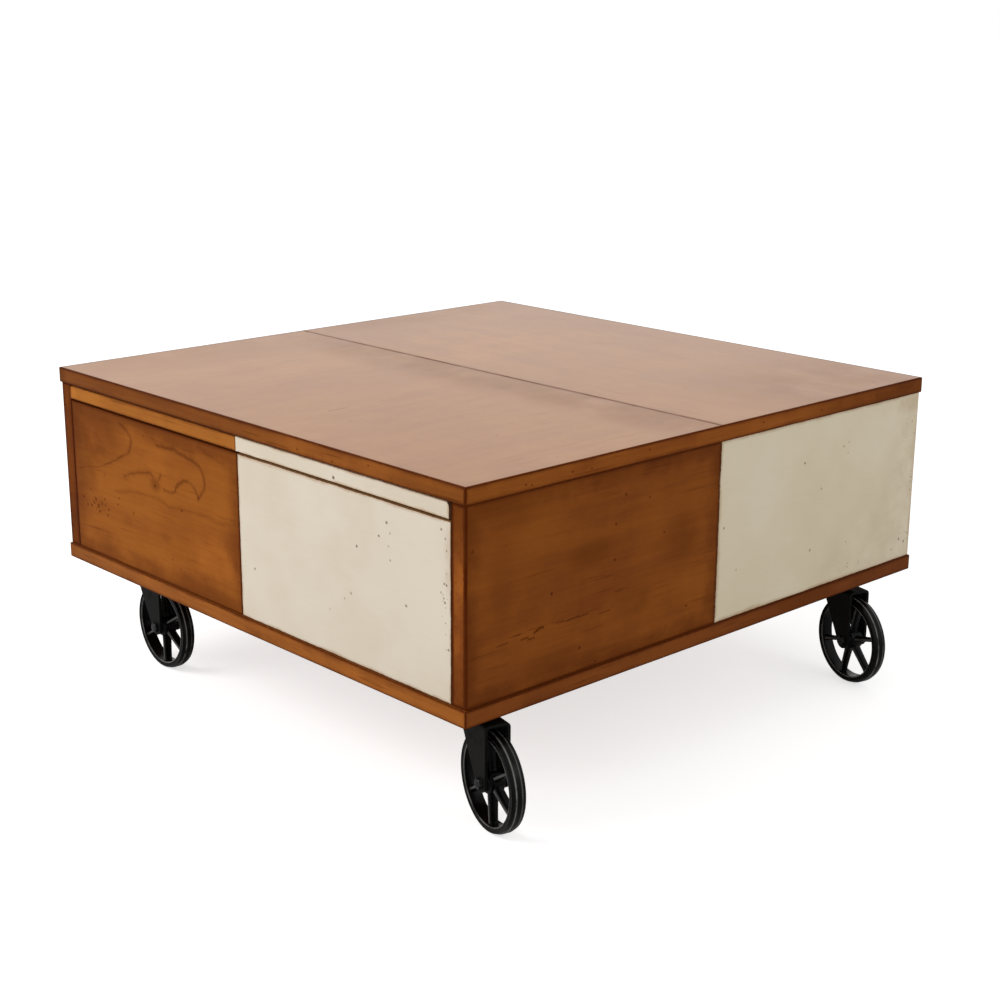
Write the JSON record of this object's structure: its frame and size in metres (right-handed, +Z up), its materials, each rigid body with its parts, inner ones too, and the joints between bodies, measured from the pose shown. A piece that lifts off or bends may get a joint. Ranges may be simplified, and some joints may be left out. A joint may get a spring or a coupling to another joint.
{
  "type": "rolling coffee table",
  "caption": "Square low table on swivel castors, a two-tone wood case with a full-width pull-out tray above side-by-side drawers.",
  "frame": {"origin": "floor level, under the centre of the square table top", "axes": "+Z up, +X to the right along the drawer face, the drawer face looks towards -Y"},
  "size_m": [0.9364, 0.9, 0.456],
  "materials": {
    "cherry_wood": "satin, aged stain",
    "strip_cherry": "satin, left half stained, right half cream paint",
    "cream_paint": "satin aged paint",
    "plain_beech": "matt",
    "black_iron": "gloss black",
    "zinc_steel": "dull"
  },
  "bodies": {
    "case": {"top_board_front": "cherry_wood", "top_board_rear": "cherry_wood", "top_lipping_front": "cherry_wood", "top_lipping_right": "cherry_wood", "top_lipping_back": "cherry_wood", "top_lipping_left": "cherry_wood", "bottom_board": "cherry_wood", "bottom_lipping_front": "cherry_wood", "bottom_lipping_right": "cherry_wood", "bottom_lipping_back": "cherry_wood", "bottom_lipping_left": "cherry_wood", "right_panel_wood": "cherry_wood", "right_panel_cream": "cream_paint", "left_panel_cream": "cream_paint", "left_panel_wood": "cherry_wood", "back_panel_wood": "cherry_wood", "back_panel_cream": "cream_paint", "centre_partition": "plain_beech", "panel_dowels": "plain_beech", "tray_runners": "plain_beech", "tray_stop_pegs": "zinc_steel", "drawer_runners": "plain_beech", "castor_plate_front_left": "black_iron", "castor_plate_front_right": "black_iron", "castor_plate_back_right": "black_iron", "castor_plate_back_left": "black_iron", "castor_kingpins": "zinc_steel", "castor_screws": "zinc_steel"},
    "tray": {"tray_board": "cherry_wood", "tray_front": "strip_cherry"},
    "drawer_left": {"drawer_left_front": "cherry_wood", "drawer_left_outer_side": "plain_beech", "drawer_left_inner_side": "plain_beech", "drawer_left_back": "plain_beech", "drawer_left_bottom": "plain_beech", "drawer_left_dowels": "plain_beech"},
    "drawer_right": {"drawer_right_front": "cream_paint", "drawer_right_outer_side": "plain_beech", "drawer_right_inner_side": "plain_beech", "drawer_right_back": "plain_beech", "drawer_right_bottom": "plain_beech", "drawer_right_dowels": "plain_beech"},
    "fork_front_left": {"castor_fork_front_left": "black_iron", "castor_axle_front_left": "zinc_steel"},
    "wheel_front_left": {"castor_wheel_front_left": "black_iron"},
    "fork_front_right": {"castor_fork_front_right": "black_iron", "castor_axle_front_right": "zinc_steel"},
    "wheel_front_right": {"castor_wheel_front_right": "black_iron"},
    "fork_back_right": {"castor_fork_back_right": "black_iron", "castor_axle_back_right": "zinc_steel"},
    "wheel_back_right": {"castor_wheel_back_right": "black_iron"},
    "fork_back_left": {"castor_fork_back_left": "black_iron", "castor_axle_back_left": "zinc_steel"},
    "wheel_back_left": {"castor_wheel_back_left": "black_iron"}
  },
  "joints": [
    {"name": "tray_slide", "type": "slide", "parent": "case", "child": "tray", "axis": [0, -1, 0], "range_m": [0, 0.3]},
    {"name": "drawer_left_slide", "type": "slide", "parent": "case", "child": "drawer_left", "axis": [0, -1, 0], "range_m": [0, 0.38]},
    {"name": "drawer_right_slide", "type": "slide", "parent": "case", "child": "drawer_right", "axis": [0, -1, 0], "range_m": [0, 0.38]},
    {"name": "swivel_front_left", "type": "hinge", "parent": "case", "child": "fork_front_left", "pos_m": [-0.371, -0.367, 0.147], "axis": [0, 0, 1], "continuous": true},
    {"name": "roll_front_left", "type": "hinge", "parent": "fork_front_left", "child": "wheel_front_left", "pos_m": [-0.31903, -0.36882, 0.066], "axis": [0.0349, 0.9994, 0], "continuous": true},
    {"name": "swivel_front_right", "type": "hinge", "parent": "case", "child": "fork_front_right", "pos_m": [0.371, -0.367, 0.147], "axis": [0, 0, 1], "continuous": true},
    {"name": "roll_front_right", "type": "hinge", "parent": "fork_front_right", "child": "wheel_front_right", "pos_m": [0.42156, -0.37914, 0.066], "axis": [0.2334, 0.9724, 0], "continuous": true},
    {"name": "swivel_back_right", "type": "hinge", "parent": "case", "child": "fork_back_right", "pos_m": [0.371, 0.367, 0.147], "axis": [0, 0, 1], "continuous": true},
    {"name": "roll_back_right", "type": "hinge", "parent": "fork_back_right", "child": "wheel_back_right", "pos_m": [0.42146, 0.35442, 0.066], "axis": [0.2419, 0.9703, 0], "continuous": true},
    {"name": "swivel_back_left", "type": "hinge", "parent": "case", "child": "fork_back_left", "pos_m": [-0.371, 0.367, 0.147], "axis": [0, 0, 1], "continuous": true},
    {"name": "roll_back_left", "type": "hinge", "parent": "fork_back_left", "child": "wheel_back_left", "pos_m": [-0.31951, 0.35976, 0.066], "axis": [0.1392, 0.9903, 0], "continuous": true}
  ]
}
